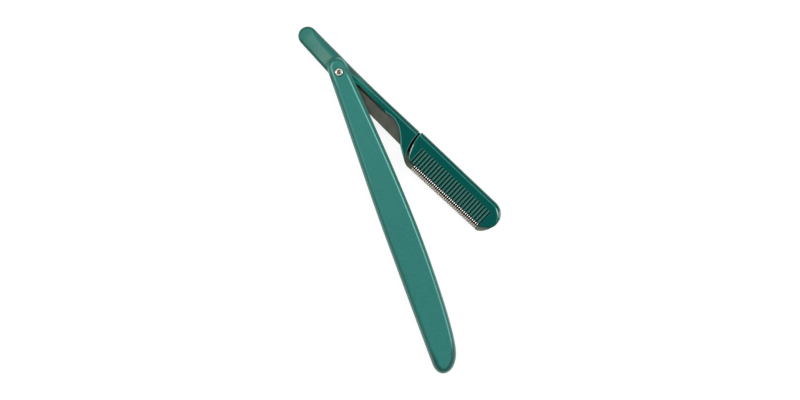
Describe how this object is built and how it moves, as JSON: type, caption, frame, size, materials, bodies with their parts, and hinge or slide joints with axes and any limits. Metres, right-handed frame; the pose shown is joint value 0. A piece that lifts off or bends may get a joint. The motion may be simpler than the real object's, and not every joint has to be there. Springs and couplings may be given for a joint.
{
  "type": "folding eyebrow razor",
  "caption": "Small folding razor for eyebrows: a slotted handle, and an arm with a tail, a ribbed head cover and a guarded blade that turns on a hollow rivet.",
  "frame": {"origin": "the pivot's axis at the handle's back face, on which the razor lies", "axes": "+X along the handle from the pivot to its far end, +Y towards the slotted side that the arm folds into, +Z from the back face to the front face, along the pivot's axis"},
  "size_m": [0.1193, 0.0427, 0.0062],
  "materials": {
    "handle_plastic": "satin moulded green with a fine grain",
    "arm_plastic": "semi-gloss moulded dark green",
    "blade_steel": "dull tempered steel, bright along the ground edge",
    "guard_metal": "plated",
    "rivet_metal": "plated, polished"
  },
  "bodies": {
    "handle": {"handle_front_shell": "handle_plastic", "handle_back_shell": "handle_plastic", "pivot_rivet": "rivet_metal", "rivet_washer": "rivet_metal"},
    "arm": {"arm_frame": "arm_plastic", "blade": "blade_steel", "blade_guard": "guard_metal", "head_cover_front": "arm_plastic", "head_cover_back": "arm_plastic"}
  },
  "joints": [
    {"name": "arm_pivot", "type": "hinge", "parent": "handle", "child": "arm", "pos_m": [0, 0, 0.0031], "axis": [0, 0, 1], "range_deg": [-19.4, 134.5]}
  ]
}
